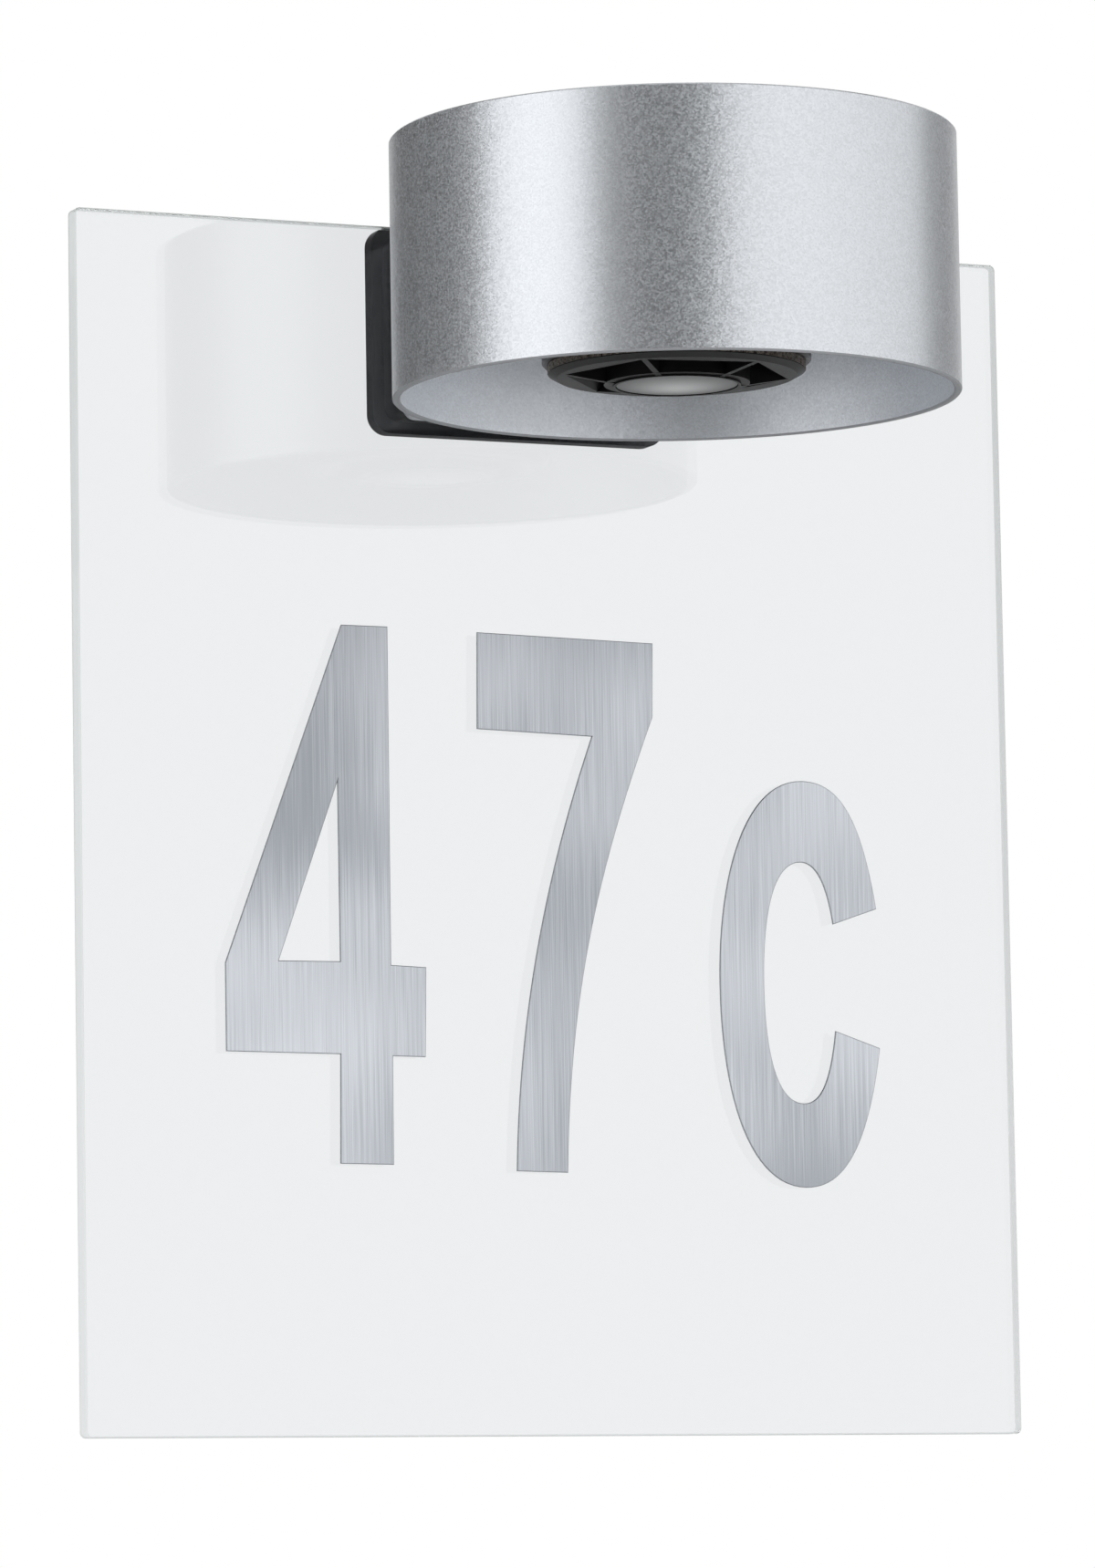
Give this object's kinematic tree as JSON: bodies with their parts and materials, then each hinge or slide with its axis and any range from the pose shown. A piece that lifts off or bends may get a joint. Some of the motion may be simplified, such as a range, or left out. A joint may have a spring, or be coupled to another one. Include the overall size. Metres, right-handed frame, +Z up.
{
  "type": "outdoor wall light",
  "caption": "Downward wall light: a short silver drum with a recessed LED unit in front of a clear square-cornered number plate on a black wall mount.",
  "frame": {"origin": "centre of the wall bracket's back face, on the wall", "axes": "+Y into the wall, +Z up, +X to the right seen from in front; the light faces -Y"},
  "size_m": [0.2, 0.1346, 0.2463],
  "materials": {
    "silver_paint": "satin metallic paint",
    "black_plastic": "satin",
    "clear_plate": "clear, polished edges",
    "dark_metal": "dark satin",
    "bronze_trim": "speckled, fluted",
    "frosted_lens": "frosted",
    "seal_rubber": "matt",
    "fastener_steel": "plain",
    "contact_brass": "plain",
    "terminal_plastic": "matt",
    "circuit_board": "lacquered",
    "emitter_yellow": "matt",
    "sink_metal": "plain",
    "lead_brown": "satin",
    "lead_blue": "satin",
    "lead_green": "satin",
    "coil_dark": "matt",
    "can_blue": "satin"
  },
  "bodies": {
    "root": {"wall_bracket": "black_plastic", "wall_gasket": "seal_rubber", "cable_grommet": "seal_rubber", "terminal_block": "terminal_plastic", "terminal_cages": "contact_brass", "terminal_screws": "fastener_steel", "rear_housing": "black_plastic", "locking_screws": "fastener_steel", "rear_seal": "seal_rubber", "number_plate": "clear_plate", "front_seal": "seal_rubber", "saddle": "silver_paint", "saddle_screws": "fastener_steel", "drum_shell": "silver_paint", "drum_screws": "fastener_steel", "top_cover": "silver_paint", "cover_seal": "seal_rubber", "cover_screws": "fastener_steel", "lamp_cup": "dark_metal", "cup_seal": "seal_rubber", "cup_screws": "fastener_steel", "wire_conduit": "dark_metal", "conduit_seal": "seal_rubber", "live_lead": "lead_brown", "neutral_lead": "lead_blue", "earth_lead": "lead_green", "earth_tag": "contact_brass", "earth_bolt": "fastener_steel", "heat_sink": "sink_metal", "led_board": "circuit_board", "led_emitter": "emitter_yellow", "lens": "frosted_lens", "lens_seal": "seal_rubber", "bezel": "black_plastic", "fluted_ring": "bronze_trim", "driver_board": "circuit_board", "driver_transformer": "coil_dark", "driver_capacitor": "can_blue", "driver_header": "terminal_plastic", "board_spacers": "coil_dark"}
  },
  "joints": []
}
